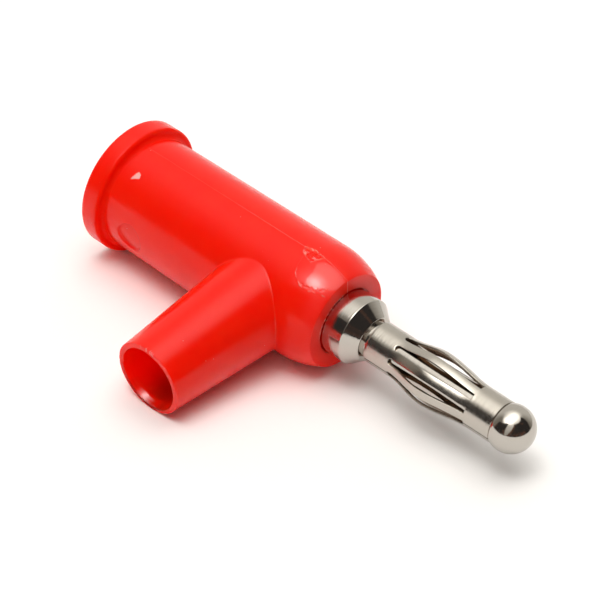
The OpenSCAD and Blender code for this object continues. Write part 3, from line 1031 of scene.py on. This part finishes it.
def floor():
    """White sheet: white to the eye, as in the photograph, near white to the light it sends on, and a little grey
    where it is mirrored."""
    bm = bmesh.new()
    bmesh.ops.create_grid(bm, x_segments=1, y_segments=1, size=FLOOR_HALF)
    mesh = bpy.data.meshes.new("floor")
    bm.to_mesh(mesh)
    bm.free()
    obj = bpy.data.objects.new("floor", mesh)
    bpy.context.scene.collection.objects.link(obj)
    mat, tree, shader = new_material("floor_white")
    shader.inputs["Roughness"].default_value = FLOOR_ROUGH
    shader.inputs["Specular IOR Level"].default_value = 0.0
    path = add(tree, "ShaderNodeLightPath")
    mirrored = mixed(tree, path.outputs["Is Glossy Ray"], FLOOR_LIT, FLOOR_MIRRORED)
    sight = calc(tree, "MAXIMUM", path.outputs["Is Camera Ray"], path.outputs["Is Transmission Ray"])
    link(tree, mixed(tree, sight, mirrored, FLOOR_SEEN), shader.inputs["Base Color"])
    mesh.materials.append(mat)


def sky_angles(tree, coord):
    """Degrees to the side of the camera's direction, and above the horizon."""
    to_camera = add(tree, "ShaderNodeMapping", vector_type="VECTOR")
    to_camera.inputs["Rotation"].default_value = (0, 0, CAMERA_SIDE)
    link(tree, coord, to_camera.inputs["Vector"])
    parts = add(tree, "ShaderNodeSeparateXYZ")
    link(tree, to_camera.outputs["Vector"], parts.inputs["Vector"])
    aside = calc(tree, "DEGREES", calc(tree, "ARCTAN2", parts.outputs["Y"], parts.outputs["X"]))
    high = calc(tree, "DEGREES", calc(tree, "ARCSINE", parts.outputs["Z"]))
    return aside, high


def surroundings(tree, coord):
    """Colour of the tent and of the dark room in its opening, and where the room is seen."""
    aside, high = sky_angles(tree, coord)
    past_flap = calc(tree, "SUBTRACT", aside, calc(tree, "MULTIPLY", high, FLAP_LEAN))
    flap_start = mapped(tree, aside, *FLAP_START, 0, 1)
    flap = calc(tree, "MULTIPLY", flap_start, mapped(tree, past_flap, *FLAP_END, 1, 0))

    back = mapped(tree, calc(tree, "ABSOLUTE", aside), *TENT_BACK, 0, 1)
    top = mapped(tree, high, *TENT_TOP, 0, 1)
    lit_flap = calc(tree, "MULTIPLY", flap, mapped(tree, high, *FLAP_LIGHT, FLAP_LOW, 1))
    pale = calc(tree, "MAXIMUM", calc(tree, "MAXIMUM", back, top), lit_flap)
    tent = mixed(tree, pale, TENT_DIM, TENT_PALE)

    slope = calc(tree, "MULTIPLY", calc(tree, "SUBTRACT", aside, ROOM_SLOPE_FROM), ROOM_SLOPE)
    level = calc(tree, "SUBTRACT", high, calc(tree, "MINIMUM", slope, 0))
    below = mapped(tree, level, *ROOM_TOP, 1, 0)
    past_room = calc(tree, "SUBTRACT", aside, calc(tree, "MULTIPLY", high, ROOM_LEAN))
    room_start = mapped(tree, aside, *ROOM_START, 0, 1)
    between = calc(tree, "MULTIPLY", room_start, mapped(tree, past_room, *ROOM_END, 1, 0))
    opening = calc(tree, "MULTIPLY", below, between)
    room = calc(tree, "MULTIPLY", opening, calc(tree, "SUBTRACT", 1, flap))

    streaks = add(tree, "ShaderNodeTexNoise", Scale=STREAK_SCALE, Detail=3.0, Distortion=0.6)
    link(tree, coord, streaks.inputs["Vector"])
    brown = mapped(tree, streaks.outputs["Fac"], *STREAK_RANGE, 0, 1)
    beside_start = mapped(tree, past_flap, *BESIDE_START, 0, 1)
    beside = calc(tree, "MULTIPLY", mapped(tree, past_flap, *BESIDE_END, 1, 0), beside_start)
    things = mixed(tree, calc(tree, "MAXIMUM", brown, beside), ROOM_DARK, ROOM_BROWN)
    return mixed(tree, room, tent, things), room


def soft_lamp(tree, coord):
    """Strength of the glows above the plug."""
    parts = add(tree, "ShaderNodeSeparateXYZ")
    link(tree, coord, parts.inputs["Vector"])
    up = calc(tree, "MAXIMUM", parts.outputs["Z"], LOWEST)
    across = calc(tree, "DIVIDE", parts.outputs["X"], up)
    along = calc(tree, "DIVIDE", parts.outputs["Y"], up)
    total = 0.0
    for centre, half, strength, even in GLOWS:
        dx = calc(tree, "DIVIDE", calc(tree, "SUBTRACT", across, centre[0]), half[0])
        dy = calc(tree, "DIVIDE", calc(tree, "SUBTRACT", along, centre[1]), half[1])
        squares = calc(tree, "ADD", calc(tree, "POWER", dx, 2), calc(tree, "POWER", dy, 2))
        glow = mapped(tree, calc(tree, "SQRT", squares), even, GLOW_END, strength, 0)
        total = calc(tree, "ADD", total, glow)
    return total


def studio():
    """World: a white tent with a soft lamp above, open towards the camera onto a dark room."""
    world = bpy.data.worlds.new("studio")
    bpy.context.scene.world = world
    world.use_nodes = True
    tree = world.node_tree
    coord = add(tree, "ShaderNodeTexCoord").outputs["Generated"]
    colour, room = surroundings(tree, coord)
    around = tree.nodes["Background"]
    link(tree, colour, around.inputs["Color"])
    above = add(tree, "ShaderNodeBackground")
    above.inputs["Color"].default_value = LAMP_TINT
    outside = calc(tree, "SUBTRACT", 1, room)
    link(tree, calc(tree, "MULTIPLY", soft_lamp(tree, coord), outside), above.inputs["Strength"])
    both = add(tree, "ShaderNodeAddShader")
    link(tree, around.outputs["Background"], both.inputs[0])
    link(tree, above.outputs["Background"], both.inputs[1])
    link(tree, both.outputs["Shader"], tree.nodes["World Output"].inputs["Surface"])


def lamp():
    """Round lamp above the plug, facing down."""
    data = bpy.data.lights.new("lamp", "AREA")
    data.shape = "ELLIPSE"
    data.size = LAMP_WIDTH
    data.size_y = LAMP_DEPTH
    data.energy = LAMP_RADIANCE * math.pi * math.pi / 4 * LAMP_WIDTH * LAMP_DEPTH
    obj = bpy.data.objects.new("lamp", data)
    obj.location = LAMP_PLACE
    bpy.context.scene.collection.objects.link(obj)


def camera():
    """The photograph's camera, fitted in the plug's frame in mm."""
    turn, rise, tilt = math.radians(44.089), math.radians(43.477), math.radians(-0.531)
    target, distance = Vector((25.35, -3.9, 0)), 215.013
    shift_right, shift_up = -1.6575, 4.0853
    level = Vector((math.cos(turn), math.sin(turn), 0))
    front = Vector((math.sin(turn), -math.cos(turn), 0))
    back = math.cos(rise) * front + math.sin(rise) * Vector((0, 0, 1))
    upright = back.cross(level)
    right = math.cos(tilt) * level + math.sin(tilt) * upright
    up = -math.sin(tilt) * level + math.cos(tilt) * upright
    pose = Matrix((right, up, back)).transposed().to_4x4()
    pose.translation = target + back * distance + right * shift_right + up * shift_up
    data = bpy.data.cameras.new("camera")
    data.sensor_width = 36
    data.lens = 166.946
    data.clip_start = 0.01
    obj = bpy.data.objects.new("camera", data)
    place = PLUG @ pose
    obj.matrix_world = Matrix.LocRotScale(place.translation, place.to_quaternion(), Vector((1, 1, 1)))
    bpy.context.scene.collection.objects.link(obj)
    bpy.context.scene.camera = obj


floor()
studio()
lamp()
camera()
bpy.context.scene.view_settings.view_transform = "Standard"
